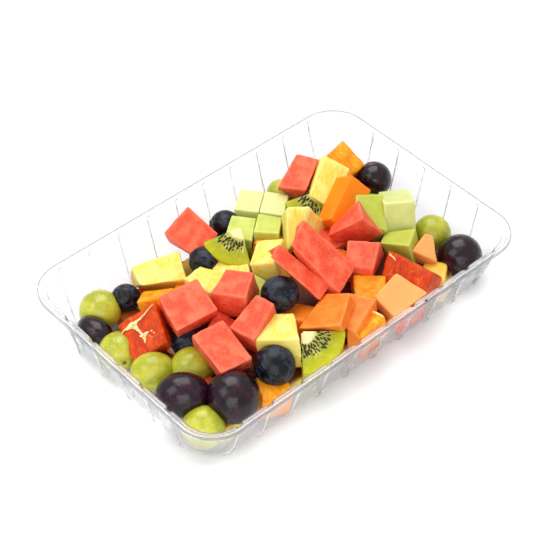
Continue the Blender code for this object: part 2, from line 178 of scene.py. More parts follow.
# Pith on the citrus: how high it stands, then which block, and strips on its top face as start, end and the
# widths at both
PITH_RAISE = 0.9
PITH_ROUND = 0.6
PITH_OVERLAP = 0.4
PITH_SWAY = 0.25
PITH = [
    (BLOOD_ORANGE[0], [
        ((-4, 7), (-9, 7.5), (4.5, 1.2)),
        ((-4, 7), (-0.5, 7.5), (4, 1.4)),
        ((-4, 7), (-2, 2.5), (4, 1.2)),
        ((0, -2), (3, -1), (3, 0.8)),
        ((0, -2), (-2.5, -1), (3, 0.8)),
        ((0, -2), (-1, -5.5), (3, 0.6)),
        ((-0.5, 7.5), (3, 8.5), (1.3, 0.8)),
        ((3, 8.5), (11, 10.5), (0.8, 0.5)),
        ((-9, 7.5), (-12, 6.5), (1.1, 0.5)),
        ((-2, 2.5), (-0.5, -1), (1.2, 1.2)),
        ((5, -1.5), (5.5, -1.8), (0.9, 0.5)),
        ((6, -3), (6.3, -3.4), (0.8, 0.4)),
    ]),
    (BLOOD_ORANGE[1], [
        ((-12, 6), (-8.5, 4.5), (0.9, 0.4)),
    ]),
    (ORANGE[3], [
        ((-4, 8.5), (4, 8), (1.5, 1.0)),
        ((-3.5, 8), (-4, 2), (1.2, 0.5)),
    ]),
]

# Loose bits, as blocks: a pale scrap low at the left and a crumb of pineapple on the front wall; and a seed
# on the front lip
LOOSE_BITS = [
    ((-68, 0, 13), (10, 20, 30), (12, 14, 3), 0.8),
    ((-32, -63, 9), (20, 10, 15), (2.6, 1.6, 3.2), 0.7),
]
SCRAP_ROUND = 0.7
LOOSE_SEED = (36, -74.9, 36.1)
LOOSE_SEED_HALF = (0.9, 0.6, 0.5)

# Low core under the pieces: west, east, south, north, bottom and top of each slab, made smaller by the ease
MOUND_EASE = 1
MOUND_ROUND = 2.5
MOUND = [
    (-87, 85, -55, 36, -4, 14),
    (-76, 88, 30, 55, -4, 10),
    (-24, 97, 12, 50, -4, 13),
    (-62, 60, -44, 26, 6, 20),
]

# Kiwi sectors: core on the cut face, turn, radius, thickness, sweep. The rays change little through a slice
KIWI_ROUND = 0.9
KIWI_ARC = 0.62
KIWI_RAY_TURN = 0.02
KIWI = [
    ((-1, 29, 39), (-25, 10, 160), 22.5, 15, 80),
    ((55, 27, 33), (-25, 10, 155), 20.5, 13, 110),
    ((-24, -44, 31), (0, 25, -130), 23, 15, 90),
]

# Fineness of the meshes: steps along a block's side, and segments and rings of a ball
BLOCK_STEPS = 20
SLAB_STEPS = 24
SCRAP_STEPS = 8
PITH_STEPS = 6
GRAPE_BALL = (64, 44)
BERRY_BALL = (72, 48)
SEED_BALL = (12, 8)

# Knife-cut blocks: how far a corner strays, how far in the pale edge reaches, and the room in which each
# block's grain is placed, so that no two blocks show the same pattern
CORNER_STRAY = 0.5
EDGE_REACH = 3.0
GRAIN_ROOM = 200

# Whole fruit, in radians from the stem: the dimple, a berry's crown and hollow, and the scars
DIMPLE_WIDTH = 0.16
CROWN_ANGLE = 0.40
CROWN_WIDTH = 0.075
HOLLOW_WIDTH = 0.30
GRAPE_SCAR = 0.15
BERRY_SCAR = 0.42
# A berry's crown: how many lobes and how uneven, and the hollow's depth over the crown's height
CROWN_LOBES = 5
LOBE_SHARE = 0.35
HOLLOW_SHARE = 1.6
# How far whole fruit is from round, as a share of its size
LOPSIDED = 0.012

# How the fine grain of a cut is stretched in a block's own X, Y and Z: along the fibres in pineapple
EVEN_GRAIN = (1.0, 1.0, 1.0)
FIBRE_GRAIN = (1.0, 0.15, 1.0)

# Shine of wet cut fruit
FLESH_IOR = 1.38
FLESH_SPECULAR = 0.3

# Studio: colours are linear, distances and sizes in metres, powers in watts
FLOOR_SIZE = 6.0
FLOOR_COLOUR = (0.92, 0.92, 0.92, 1.0)
HORIZON_COLOUR = (0.58, 0.58, 0.59, 1.0)
OVERHEAD_COLOUR = (0.95, 0.95, 0.96, 1.0)
STUDIO_STRENGTH = 0.81
# Softboxes: name, azimuth, elevation, distance, size and power
SOFTBOXES = [
    ("back_softbox", 150, 62, 1.3, 1.0, 9.5),
    ("left_fill", -110, 50, 1.5, 0.8, 4.0),
    ("front_fill", -42, 24, 1.6, 1.2, 9.0),
]
# Camera: places in millimetres of the part
CAMERA_PLACE = (-420.0, -463.8, 654.4)
CAMERA_TARGET = (-10.0, -8.5, 36.0)
CAMERA_LENS = 108
CLIP_START = 0.05


# ---------------------------------------------------------------- node trees


def linear(red, green, blue):
    """A display colour from 0 to 255 as the linear colour that shaders take."""
    parts = [value / 255 for value in (red, green, blue)]
    return tuple(p / 12.92 if p <= 0.04045 else ((p + 0.055) / 1.055) ** 2.4 for p in parts) + (1.0,)


class Tree:
    """Adds nodes to one tree and joins them: a socket is linked, anything else is set as its value."""

    def __init__(self, tree):
        self.tree = tree

    def add(self, kind, inputs=None, **settings):
        node = self.tree.nodes.new(kind)
        for name, value in settings.items():
            setattr(node, name, value)
        for socket, value in (inputs or {}).items():
            self.feed(node.inputs[socket], value)
        return node

    def feed(self, socket, value):
        if isinstance(value, bpy.types.NodeSocket):
            self.tree.links.new(value, socket)
        else:
            socket.default_value = value

    def math(self, operation, first, second=0.0):
        return self.add("ShaderNodeMath", {0: first, 1: second}, operation=operation).outputs[0]

    def vector(self, operation, first, second):
        node = self.add("ShaderNodeVectorMath", {0: first, 1: second}, operation=operation)
        return node.outputs["Vector"]

    def scaled(self, vector, factor):
        node = self.add("ShaderNodeVectorMath", {0: vector, "Scale": factor}, operation="SCALE")
        return node.outputs["Vector"]

    def split(self, vector):
        return self.add("ShaderNodeSeparateXYZ", {0: vector}).outputs

    def join(self, x, y, z):
        return self.add("ShaderNodeCombineXYZ", {0: x, 1: y, 2: z}).outputs[0]

    def noise(self, vector, scale, detail=2.0, rough=0.5, distortion=0.0):
        inputs = {
            "Vector": vector,
            "Scale": scale,
            "Detail": detail,
            "Roughness": rough,
            "Distortion": distortion,
        }
        return self.add("ShaderNodeTexNoise", inputs).outputs[0]

    def cells(self, vector, scale, feature="F1", output="Distance"):
        inputs = {"Vector": vector, "Scale": scale}
        return self.add("ShaderNodeTexVoronoi", inputs, feature=feature).outputs[output]

    def fade(self, value, low, high, start=0.0, end=1.0):
        """Turns a value between low and high smoothly into one between start and end."""
        inputs = {0: value, 1: low, 2: high, 3: start, 4: end}
        return self.add("ShaderNodeMapRange", inputs, interpolation_type="SMOOTHSTEP").outputs[0]

    def blend(self, factor, first, second):
        """Goes from the first colour to the second as the factor goes from 0 to 1."""
        inputs = {0: factor, 6: first, 7: second}
        return self.add("ShaderNodeMix", inputs, data_type="RGBA").outputs[2]

    def attribute(self, name, output="Vector"):
        return self.add("ShaderNodeAttribute", attribute_name=name).outputs[output]

    def bump(self, height, strength, distance):
        inputs = {"Height": height, "Strength": strength, "Distance": distance}
        return self.add("ShaderNodeBump", inputs).outputs[0]


def new_material(name):
    material = bpy.data.materials.new(name)
    material.use_nodes = True
    material.node_tree.nodes.clear()
    return material, Tree(material.node_tree)


def finish_material(tree, settings):
    """Sets or links a Principled shader's sockets by name and joins it to the output."""
    shader = tree.add("ShaderNodeBsdfPrincipled", settings)
    output = tree.add("ShaderNodeOutputMaterial")
    tree.feed(output.inputs["Surface"], shader.outputs[0])


def finish_flesh(tree, colour, roughness, glow, radius, reach, normal):
    """Wet cut fruit: the glow is the share of light that sinks in, as far as the radius times the reach."""
    finish_material(tree, {
        "Base Color": colour,
        "Roughness": roughness,
        "Subsurface Weight": glow,
        "Subsurface Radius": radius,
        "Subsurface Scale": reach * MM,
        "IOR": FLESH_IOR,
        "Specular IOR Level": FLESH_SPECULAR,
        "Normal": normal,
    })


def pale_edged(tree, colour, edge_colour, start, share):
    """Paler towards a block's cut edges, where light comes through the thin flesh."""
    edge = tree.attribute("edge", "Fac")
    return tree.blend(tree.fade(edge, start, 1.0, 0.0, share), colour, edge_colour)


def toned(tree, colour, pale, pale_share, deep, deep_share):
    """The colour at the plain tone, towards a pale one at tone 1 and a deep one at tone 0."""
    tone = tree.attribute("tone", "Fac")
    colour = tree.blend(tree.fade(tone, PLAIN_TONE, 1.0, 0.0, pale_share), colour, pale)
    return tree.blend(tree.fade(tone, 0.0, PLAIN_TONE, deep_share, 0.0), colour, deep)


def scarred(tree, colour, scar_colour, start, end, share=1.0):
    """Brown where the stem or the crown left its scar."""
    scar = tree.attribute("scar", "Fac")
    return tree.blend(tree.fade(scar, start, end, 0.0, share), colour, scar_colour)


def painted_low_shade(tree, colour, deep, low, high, share):
    """Painted shade: towards a deeper colour lower in the heap, where the fruit shades itself."""
    height = tree.split(tree.add("ShaderNodeTexCoord").outputs["Object"])[2]
    return tree.blend(tree.fade(height, low * MM, high * MM, share, 0.0), colour, deep)


# ---------------------------------------------------------------- materials


def watermelon_flesh():
    material, tree = new_material("watermelon flesh")
    grain = tree.attribute("grain")
    mottle = tree.noise(grain, 0.9, 3.0, 0.6)
    cloud = tree.noise(grain, 0.16, 2.0, 0.5)
    veins = tree.noise(grain, 0.35, 4.0, 0.55, 1.2)
    colour = tree.blend(tree.fade(mottle, 0.32, 0.68), linear(232, 72, 44), linear(242, 98, 66))
    colour = tree.blend(tree.fade(cloud, 0.40, 0.68, 0.0, 0.6), colour, linear(250, 134, 98))
    colour = tree.blend(tree.fade(veins, 0.60, 0.70, 0.0, 0.35), colour, linear(251, 156, 122))
    colour = pale_edged(tree, colour, linear(250, 140, 108), 0.25, 0.45)
    bead = tree.cells(grain, 1.05)
    height = tree.math("ADD", tree.math("MULTIPLY", mottle, 0.6), bead)
    roughness = tree.fade(mottle, 0.3, 0.7, 0.34, 0.52)
    finish_flesh(tree, colour, roughness, 0.35, (1.0, 0.28, 0.16), 2.2, tree.bump(height, 0.55, 0.35 * MM))
    return material


def pineapple_flesh():
    material, tree = new_material("pineapple flesh")
    grain = tree.attribute("grain")
    along = tree.vector("MULTIPLY", grain, (1.0, 0.13, 1.0))
    fibre = tree.noise(along, 1.15, 3.0, 0.62, 0.4)
    cloud = tree.noise(grain, 0.14, 2.0, 0.5, 0.5)
    colour = tree.blend(tree.fade(fibre, 0.34, 0.66), linear(247, 212, 78), linear(252, 234, 122))
    colour = tree.blend(tree.fade(cloud, 0.45, 0.62, 0.0, 0.6), colour, linear(252, 240, 148))
    colour = pale_edged(tree, colour, linear(253, 242, 164), 0.30, 0.4)
    # Painted shade: a deeper, warmer yellow lower in the heap
    colour = painted_low_shade(tree, colour, linear(226, 160, 12), 12, 27, 0.85)
    roughness = tree.fade(fibre, 0.3, 0.7, 0.26, 0.44)
    finish_flesh(tree, colour, roughness, 0.4, (1.0, 0.75, 0.22), 2.6, tree.bump(fibre, 0.5, 0.5 * MM))
    return material


def honeydew_flesh():
    material, tree = new_material("honeydew flesh")
    grain = tree.attribute("grain")
    fine = tree.noise(grain, 1.5, 3.0, 0.6)
    cloud = tree.noise(grain, 0.12, 2.0, 0.5)
    colour = tree.blend(tree.fade(cloud, 0.30, 0.72), linear(190, 204, 80), linear(212, 220, 116))
    colour = tree.blend(tree.fade(fine, 0.50, 0.80, 0.0, 0.25), colour, linear(228, 232, 154))
    colour = pale_edged(tree, colour, linear(232, 236, 164), 0.3, 0.35)
    colour = toned(tree, colour, linear(236, 236, 182), 0.6, linear(180, 186, 62), 0.7)
    # Painted shade: a deeper olive green lower in the heap
    colour = painted_low_shade(tree, colour, linear(156, 178, 10), 12, 28, 0.85)
    roughness = tree.fade(fine, 0.3, 0.7, 0.28, 0.42)
    finish_flesh(tree, colour, roughness, 0.5, (0.8, 1.0, 0.35), 3.0, tree.bump(fine, 0.3, 0.25 * MM))
    return material


def cantaloupe_flesh():
    material, tree = new_material("cantaloupe flesh")
    grain = tree.attribute("grain")
    fine = tree.noise(grain, 1.3, 3.0, 0.6)
    cloud = tree.noise(grain, 0.13, 2.0, 0.5)
    streak = tree.noise(tree.vector("MULTIPLY", grain, (0.25, 1.0, 1.0)), 0.4, 2.0, 0.5)
    colour = tree.blend(tree.fade(cloud, 0.36, 0.64), linear(244, 122, 34), linear(250, 142, 54))
    colour = tree.blend(tree.fade(streak, 0.5, 0.75, 0.0, 0.3), colour, linear(252, 166, 84))
    colour = pale_edged(tree, colour, linear(252, 172, 98), 0.3, 0.3)
    colour = toned(tree, colour, linear(253, 182, 112), 0.8, linear(250, 136, 2), 0.85)
    # Painted shade: a deeper orange lower in the heap
    colour = painted_low_shade(tree, colour, linear(236, 108, 20), 10, 24, 0.6)
    roughness = tree.fade(fine, 0.3, 0.7, 0.30, 0.46)
    finish_flesh(tree, colour, roughness, 0.45, (1.0, 0.5, 0.2), 3.0, tree.bump(fine, 0.35, 0.3 * MM))
    return material


def citrus_flesh(name, dark, mid, light, membrane, sac_size):
    """Juice sacs pressed together lengthwise, with thin pale membranes between the segments."""
    material, tree = new_material(name)
    grain = tree.attribute("grain")
    along = tree.vector("MULTIPLY", grain, (1.0, 0.36, 1.0))
    sac = tree.cells(along, 1 / sac_size)
    shade = tree.cells(along, 1 / sac_size, "F1", "Color")
    cloud = tree.noise(grain, 0.15, 2.0, 0.5)
    colour = tree.blend(tree.fade(sac, 0.15, 0.62), light, mid)
    colour = tree.blend(tree.math("MULTIPLY", tree.split(shade)[0], 0.45), colour, dark)
    colour = tree.blend(tree.fade(cloud, 0.42, 0.66, 0.0, 0.5), colour, light)
    segment = tree.cells(tree.vector("ADD", grain, (3.0, 5.0, 2.0)), 0.055, "DISTANCE_TO_EDGE")
    wall = tree.fade(segment, 0.0, 0.012, 1.0, 0.0)
    wall = tree.math("MULTIPLY", wall, tree.fade(cloud, 0.46, 0.60, 0.0, 0.75))
    colour = tree.blend(wall, colour, membrane)
    roughness = tree.fade(sac, 0.0, 0.6, 0.16, 0.34)
    swell = tree.bump(tree.fade(sac, 0.0, 0.6, 1.0, 0.0), 0.6, 0.5 * MM)
    finish_flesh(tree, colour, roughness, 0.45, (1.0, 0.45, 0.12), 2.4, swell)
    return material


def orange_flesh():
    return citrus_flesh("orange flesh", linear(236, 108, 6), linear(248, 150, 14), linear(253, 186, 40),
                        linear(254, 226, 150), 1.5)


def blood_orange_flesh():
    return citrus_flesh("blood orange flesh", linear(164, 36, 2), linear(204, 60, 8), linear(226, 90, 22),
                        linear(238, 156, 90), 1.6)


def kiwi_flesh():
    """Cream core, pale rays through the seed ring and bright green flesh, by distance from the core."""
    material, tree = new_material("kiwi flesh")
    share, angle, depth = tree.split(tree.attribute("slice"))
    grain = tree.attribute("grain")
    cloud = tree.noise(grain, 0.35, 3.0, 0.55)
    reach = tree.math("ADD", share, tree.math("MULTIPLY", tree.math("SUBTRACT", cloud, 0.5), 0.12))
    rays = tree.noise(tree.join(tree.math("MULTIPLY", angle, 9.0), share, depth), 2.2, 1.5, 0.5)
    ring = tree.fade(reach, 0.24, 0.36)
    colour = tree.blend(ring, linear(240, 230, 176), linear(150, 160, 36))
    in_ring = tree.math("MULTIPLY", ring, tree.fade(reach, 0.56, 0.80, 1.0, 0.0))
    ray = tree.math("MULTIPLY", tree.fade(rays, 0.46, 0.62), in_ring)
    colour = tree.blend(ray, colour, linear(214, 208, 116))
    colour = tree.blend(tree.fade(reach, 0.52, 0.92), colour, linear(186, 184, 34))
    colour = tree.blend(tree.fade(cloud, 0.5, 0.8, 0.0, 0.4), colour, linear(216, 214, 96))
    roughness = tree.fade(cloud, 0.3, 0.7, 0.20, 0.34)
    ridges = tree.bump(tree.math("ADD", rays, cloud), 0.35, 0.4 * MM)
    finish_flesh(tree, colour, roughness, 0.5, (0.8, 1.0, 0.2), 2.6, ridges)
    return material


def kiwi_seed_coat():
    material, tree = new_material("kiwi seed coat")
    speck = tree.noise(tree.add("ShaderNodeTexCoord").outputs["Object"], 900.0)
    finish_material(tree, {
        "Base Color": tree.blend(tree.fade(speck, 0.4, 0.7), linear(18, 14, 12), linear(52, 38, 28)),
        "Roughness": 0.28,
        "Normal": tree.bump(speck, 0.3, 0.1 * MM),
    })
    return material


def green_grape_skin():
    material, tree = new_material("green grape skin")
    place = tree.attribute("grain")
    around, along, _ = tree.split(tree.attribute("polar"))
    streak = tree.noise(tree.join(tree.math("MULTIPLY", around, 5.0), along, 0.0), 1.6, 3.0, 0.55, 0.3)
    cloud = tree.noise(place, 0.12, 2.0, 0.5)
    colour = tree.blend(tree.fade(cloud, 0.36, 0.66), linear(168, 172, 34), linear(196, 194, 62))
    colour = tree.blend(tree.fade(streak, 0.52, 0.74, 0.0, 0.5), colour, linear(218, 216, 112))
    finish_material(tree, {
        "Base Color": scarred(tree, colour, linear(120, 92, 40), 0.45, 0.85),
        "Roughness": tree.fade(tree.noise(place, 0.9, 3.0), 0.35, 0.7, 0.20, 0.36),
        "Subsurface Weight": 0.75,
        "Subsurface Radius": (0.9, 1.0, 0.3),
        "Subsurface Scale": 5.0 * MM,
        "IOR": 1.40,
        "Coat Weight": 0.35,
        "Coat Roughness": 0.12,
        "Normal": tree.bump(tree.noise(place, 0.5, 3.0), 0.15, 0.3 * MM),
    })
    return material


def dark_grape_skin():
    material, tree = new_material("dark grape skin")
    place = tree.attribute("grain")
    cloud = tree.noise(place, 0.14, 3.0, 0.6)
    speck = tree.noise(place, 1.6, 2.0, 0.5)
    colour = tree.blend(tree.fade(cloud, 0.40, 0.70), linear(19, 7, 15), linear(50, 12, 32))
    colour = tree.blend(tree.fade(speck, 0.66, 0.76, 0.0, 0.4), colour, linear(96, 58, 66))
    finish_material(tree, {
        "Base Color": scarred(tree, colour, linear(126, 96, 62), 0.5, 0.9),
        "Roughness": tree.fade(cloud, 0.3, 0.7, 0.10, 0.20),
        "Subsurface Weight": 0.1,
        "Subsurface Radius": (1.0, 0.2, 0.3),
        "Subsurface Scale": 2.0 * MM,
        "IOR": 1.45,
        "Specular IOR Level": 0.35,
        "Coat Weight": 0.25,
        "Coat Roughness": 0.06,
        "Normal": tree.bump(tree.noise(place, 0.35, 3.0, 0.6), 0.6, 0.6 * MM),
    })
    return material


def blueberry_skin():
    """Navy skin under a grey-blue bloom that handling has rubbed away in patches."""
    material, tree = new_material("blueberry skin")
    place = tree.attribute("grain")
    patch = tree.noise(place, 0.22, 4.0, 0.62, 0.8)
    fine = tree.noise(place, 2.2, 3.0, 0.6)
    bloom = tree.math("MULTIPLY", tree.fade(patch, 0.46, 0.64), tree.fade(fine, 0.30, 0.60, 0.55, 1.0))
    colour = tree.blend(bloom, linear(11, 12, 18), linear(54, 63, 82))
    finish_material(tree, {
        "Base Color": scarred(tree, colour, linear(26, 20, 22), 0.35, 0.8, 0.85),
        "Roughness": tree.fade(bloom, 0.0, 1.0, 0.26, 0.62),
        "IOR": 1.42,
        "Specular IOR Level": 0.4,
        "Normal": tree.bump(fine, 0.25, 0.2 * MM),
    })
    return material


def pale_pith():
    material, tree = new_material("pale pith")
    place = tree.add("ShaderNodeTexCoord").outputs["Object"]
    fibre = tree.noise(place, 700.0, 3.0, 0.6)
    finish_material(tree, {
        "Base Color": tree.blend(tree.fade(fibre, 0.35, 0.7), linear(246, 206, 112), linear(254, 244, 196)),
        "Roughness": 0.5,
        "Subsurface Weight": 0.4,
        "Subsurface Radius": (1.0, 0.8, 0.4),
        "Subsurface Scale": 1.5 * MM,
        "Normal": tree.bump(fibre, 0.4, 0.2 * MM),
    })
    return material


def scrap_flesh():
    """Thin wet scraps, pale pink at tone 0 and yellow at tone 1."""
    material, tree = new_material("scrap flesh")
    tone = tree.attribute("tone", "Fac")
    fibre = tree.noise(tree.attribute("grain"), 1.2, 3.0, 0.6)
    colour = tree.blend(tone, linear(226, 152, 136), linear(238, 214, 104))
    finish_material(tree, {
        "Base Color": tree.blend(tree.fade(fibre, 0.5, 0.8, 0.0, 0.5), colour, linear(246, 224, 190)),
        "Roughness": 0.3,
        "Subsurface Weight": 0.5,
        "Subsurface Radius": (1.0, 0.6, 0.4),
        "Subsurface Scale": 2.0 * MM,
        "Normal": tree.bump(fibre, 0.4, 0.3 * MM),
    })
    return material


def sunken_flesh():
    """The mix of pieces low in the tray: bright where they press on the walls, with painted shade along the
    gaps between the pieces and dark painted shade on top, where the bed lies deep under the fruit.
    """
    material, tree = new_material("sunken flesh")
    grain = tree.attribute("grain")
    shade = tree.cells(grain, 0.065, "F1", "Color")
    red, green, blue = tree.split(shade)
    bright = tree.blend(tree.fade(red, 0.48, 0.52), linear(238, 96, 60), linear(250, 148, 58))
    bright = tree.blend(tree.fade(green, 0.58, 0.62), bright, linear(250, 224, 110))
    bright = tree.blend(tree.fade(blue, 0.70, 0.74), bright, linear(204, 212, 96))
    # Painted shade in the gaps between the pieces
    gap_shade = tree.cells(grain, 0.065, "DISTANCE_TO_EDGE")
    bright = tree.blend(tree.fade(gap_shade, 0.0, 0.06, 0.75, 0.0), bright, linear(120, 40, 14))
    # Painted shade: dark colours on top, where the bed lies deep in the gaps under the fruit
    dark = tree.blend(tree.fade(red, 0.3, 0.6), linear(84, 20, 6), linear(104, 58, 8))
    height = tree.split(tree.add("ShaderNodeTexCoord").outputs["Object"])[2]
    colour = tree.blend(tree.fade(height, 8 * MM, 13 * MM), bright, dark)
    wet = tree.noise(grain, 0.4, 3.0, 0.6)
    finish_material(tree, {
        "Base Color": colour,
        "Roughness": tree.fade(wet, 0.3, 0.7, 0.35, 0.6),
        "Specular IOR Level": 0.2,
        "Normal": tree.bump(wet, 0.5, 0.8 * MM),
    })
    return material


def clear_sheet():
    """Thin clear plastic that lets lamps through, with faint handling haze."""
    material, tree = new_material("clear plastic sheet")
    place = tree.add("ShaderNodeTexCoord").outputs["Object"]
    haze = tree.noise(place, 45.0, 3.0, 0.6)
    rim = tree.attribute("rim", "Fac")
    ripple = tree.noise(place, 60.0, 2.0, 0.5)
    shader = tree.add("ShaderNodeBsdfPrincipled", {
        # Painted shade: the lip is painted grey, for the darker surroundings that its clear edges refract
        "Base Color": tree.blend(rim, linear(252, 252, 253), linear(196, 198, 203)),
        "Roughness": tree.fade(haze, 0.3, 0.7, 0.02, 0.07),
        "IOR": 1.5,
        "Transmission Weight": 0.94,
        "Normal": tree.bump(ripple, 0.12, 0.4 * MM),
    })
    clear = tree.add("ShaderNodeBsdfTransparent")
    path = tree.add("ShaderNodeLightPath")
    mixed = tree.add("ShaderNodeMixShader", {
        0: path.outputs["Is Shadow Ray"],
        1: shader.outputs[0],
        2: clear.outputs[0],
    })
    output = tree.add("ShaderNodeOutputMaterial")
    tree.feed(output.inputs["Surface"], mixed.outputs[0])
    return material


# ---------------------------------------------------------------- geometry trees


def geometry_tree(name, inputs):
    """A tree with a geometry input and output and named inputs of its own, as (kind, name, default)."""
    group = bpy.data.node_groups.new(name, "GeometryNodeTree")
    group.interface.new_socket("Geometry", in_out="INPUT", socket_type="NodeSocketGeometry")
    for kind, label, default in inputs:
        socket = group.interface.new_socket(label, in_out="INPUT", socket_type=kind)
        if default is not None:
            socket.default_value = default
    group.interface.new_socket("Geometry", in_out="OUTPUT", socket_type="NodeSocketGeometry")
    tree = Tree(group)
    given = tree.add("NodeGroupInput").outputs
    return tree, given


def close_tree(tree, geometry, material):
    """Ends a tree in Realize Instances and Set Material."""
    real = tree.add("GeometryNodeRealizeInstances", {0: geometry}).outputs[0]
    finished = tree.add("GeometryNodeSetMaterial", {"Geometry": real, "Material": material}).outputs[0]
    output = tree.add("NodeGroupOutput")
    tree.feed(output.inputs[0], finished)


def named_value(tree, name, kind="FLOAT"):
    return tree.add("GeometryNodeInputNamedAttribute", {"Name": name}, data_type=kind).outputs[0]


def shift_points(tree, geometry, offset):
    moved = tree.add("GeometryNodeSetPosition", {"Geometry": geometry, "Offset": offset})
    return moved.outputs[0]


def knife_cut_tree():
    """Unevenness of a knife-cut face: a slow wave and a finer grain, both along the normal."""
    tree, given = geometry_tree("Knife Cut Relief", [
        ("NodeSocketFloat", "Wave Depth", 0.3),
        ("NodeSocketFloat", "Wave Size", 7.0),
        ("NodeSocketFloat", "Grain Depth", 0.12),
        ("NodeSocketFloat", "Grain Size", 1.4),
        ("NodeSocketVector", "Grain Stretch", EVEN_GRAIN),
        ("NodeSocketMaterial", "Material", None),
    ])
    place = named_value(tree, "grain", "FLOAT_VECTOR")
    wave_scale = tree.math("DIVIDE", 1.0, given["Wave Size"])
    wave = tree.math("SUBTRACT", tree.noise(place, wave_scale, 1.0), 0.5)
    stretched = tree.vector("MULTIPLY", place, given["Grain Stretch"])
    grain_scale = tree.math("DIVIDE", 1.0, given["Grain Size"])
    grain = tree.math("SUBTRACT", tree.noise(stretched, grain_scale, 2.0), 0.5)
    wave_part = tree.math("MULTIPLY", wave, given["Wave Depth"])
    grain_part = tree.math("MULTIPLY", grain, given["Grain Depth"])
    total = tree.math("MULTIPLY", tree.math("ADD", wave_part, grain_part), 2 * MM)
    normal = tree.add("GeometryNodeInputNormal").outputs[0]
    moved = shift_points(tree, given["Geometry"], tree.scaled(normal, total))
    close_tree(tree, moved, given["Material"])
    return tree.tree


def press_ribs_tree():
    """Presses the ribs outward at their pitch along each side, as far as the rib share at each point."""
    tree, given = geometry_tree("Press Ribs", [
        ("NodeSocketFloat", "Long Side Pitch", RIB_PITCH_LONG * MM),
        ("NodeSocketFloat", "Short Side Pitch", RIB_PITCH_SHORT * MM),
        ("NodeSocketFloat", "Short Side Reach", RIB_REACH_SHORT * MM),
        ("NodeSocketFloat", "Rib Width", RIB_WIDTH * MM),
        ("NodeSocketFloat", "Flank Width", RIB_FLANK * MM),
        ("NodeSocketFloat", "Rib Depth", RIB_DEPTH * MM),
        ("NodeSocketMaterial", "Material", None),
    ])
    across = tree.split(tree.add("GeometryNodeInputPosition").outputs[0])
    outward = named_value(tree, "outward", "FLOAT_VECTOR")
    facing = tree.split(outward)
    half = tree.math("MULTIPLY", given["Rib Width"], 0.5)
    inner = tree.math("SUBTRACT", half, given["Flank Width"])

    def rib(distance, pitch, start):
        """One where a rib's crest is and zero between ribs, by distance along the side."""
        shifted = tree.math("SUBTRACT", distance, start)
        nearest = tree.math("MULTIPLY", tree.math("ROUND", tree.math("DIVIDE", shifted, pitch)), pitch)
        away = tree.math("ABSOLUTE", tree.math("SUBTRACT", shifted, nearest))
        return tree.fade(away, inner, half, 1.0, 0.0)

    long_start = tree.math("MULTIPLY", given["Long Side Pitch"], 0.5)
    on_long = tree.fade(tree.math("ABSOLUTE", facing[1]), 0.80, 0.84)
    on_short = tree.fade(tree.math("ABSOLUTE", facing[0]), 0.90, 0.94)
    within = tree.math("LESS_THAN", tree.math("ABSOLUTE", across[1]), given["Short Side Reach"])
    long_rib = tree.math("MULTIPLY", rib(across[0], given["Long Side Pitch"], long_start), on_long)
    short_rib = tree.math("MULTIPLY", rib(across[1], given["Short Side Pitch"], 0.0), on_short)
    pressed = tree.math("ADD", long_rib, tree.math("MULTIPLY", short_rib, within))
    push = tree.math("MULTIPLY", pressed, named_value(tree, "rib_share"))
    push = tree.math("MULTIPLY", push, given["Rib Depth"])
    moved = shift_points(tree, given["Geometry"], tree.scaled(outward, push))
    close_tree(tree, moved, given["Material"])
    return tree.tree


def kiwi_seed_tree():
    """Seeds half sunk in the cut faces, in a ring between two shares of the radius, aimed at the core."""
    tree, given = geometry_tree("Kiwi Seeds", [
        ("NodeSocketFloat", "Ring From", 0.33),
        ("NodeSocketFloat", "Ring To", 0.62),
        ("NodeSocketFloat", "Spacing", 1.35 * MM),
        ("NodeSocketFloat", "Seed Length", 2.3 * MM),
        ("NodeSocketFloat", "Seed Width", 1.15 * MM),
        ("NodeSocketFloat", "Most Per Square Metre", 900000.0),
        ("NodeSocketInt", "Seed", 3),
        ("NodeSocketMaterial", "Material", None),
    ])
    share = tree.split(named_value(tree, "slice", "FLOAT_VECTOR"))[0]
    cut_face = tree.math("GREATER_THAN", named_value(tree, "cut_face"), 0.5)
    past_core = tree.math("GREATER_THAN", share, given["Ring From"])
    in_ring = tree.math("MULTIPLY", past_core, tree.math("LESS_THAN", share, given["Ring To"]))
    points = tree.add("GeometryNodeDistributePointsOnFaces", {
        "Mesh": given["Geometry"],
        "Selection": tree.math("MULTIPLY", in_ring, cut_face),
        "Distance Min": given["Spacing"],
        "Density Max": given["Most Per Square Metre"],
        "Seed": given["Seed"],
    }, distribute_method="POISSON")
    limits = {0: (-0.35,) * 3, 1: (0.35,) * 3, "Seed": given["Seed"]}
    lean = tree.add("FunctionNodeRandomValue", limits, data_type="FLOAT_VECTOR")
    aim = tree.vector("ADD", named_value(tree, "to_core", "FLOAT_VECTOR"), lean.outputs[0])
    turned = tree.add("FunctionNodeAlignRotationToVector", {"Vector": aim}, axis="Z")
    turned = tree.add("FunctionNodeAlignRotationToVector", {
        "Rotation": turned.outputs[0],
        "Vector": points.outputs["Normal"],
    }, axis="X", pivot_axis="Z")
    kernel = tree.add("GeometryNodeMeshUVSphere", {"Segments": 8, "Rings": 6, "Radius": 0.5})
    thickness = tree.math("MULTIPLY", given["Seed Width"], 0.8)
    size = tree.join(thickness, given["Seed Width"], given["Seed Length"])
    vary = tree.add("FunctionNodeRandomValue", {2: 0.75, 3: 1.15, "Seed": 5}, data_type="FLOAT")
    placed = tree.add("GeometryNodeInstanceOnPoints", {
        "Points": points.outputs["Points"],
        "Instance": kernel.outputs[0],
        "Rotation": turned.outputs[0],
        "Scale": tree.scaled(size, vary.outputs[1]),
    })
    smooth = tree.add("GeometryNodeSetShadeSmooth", {0: placed.outputs[0]})
    close_tree(tree, smooth.outputs[0], given["Material"])
    return tree.tree


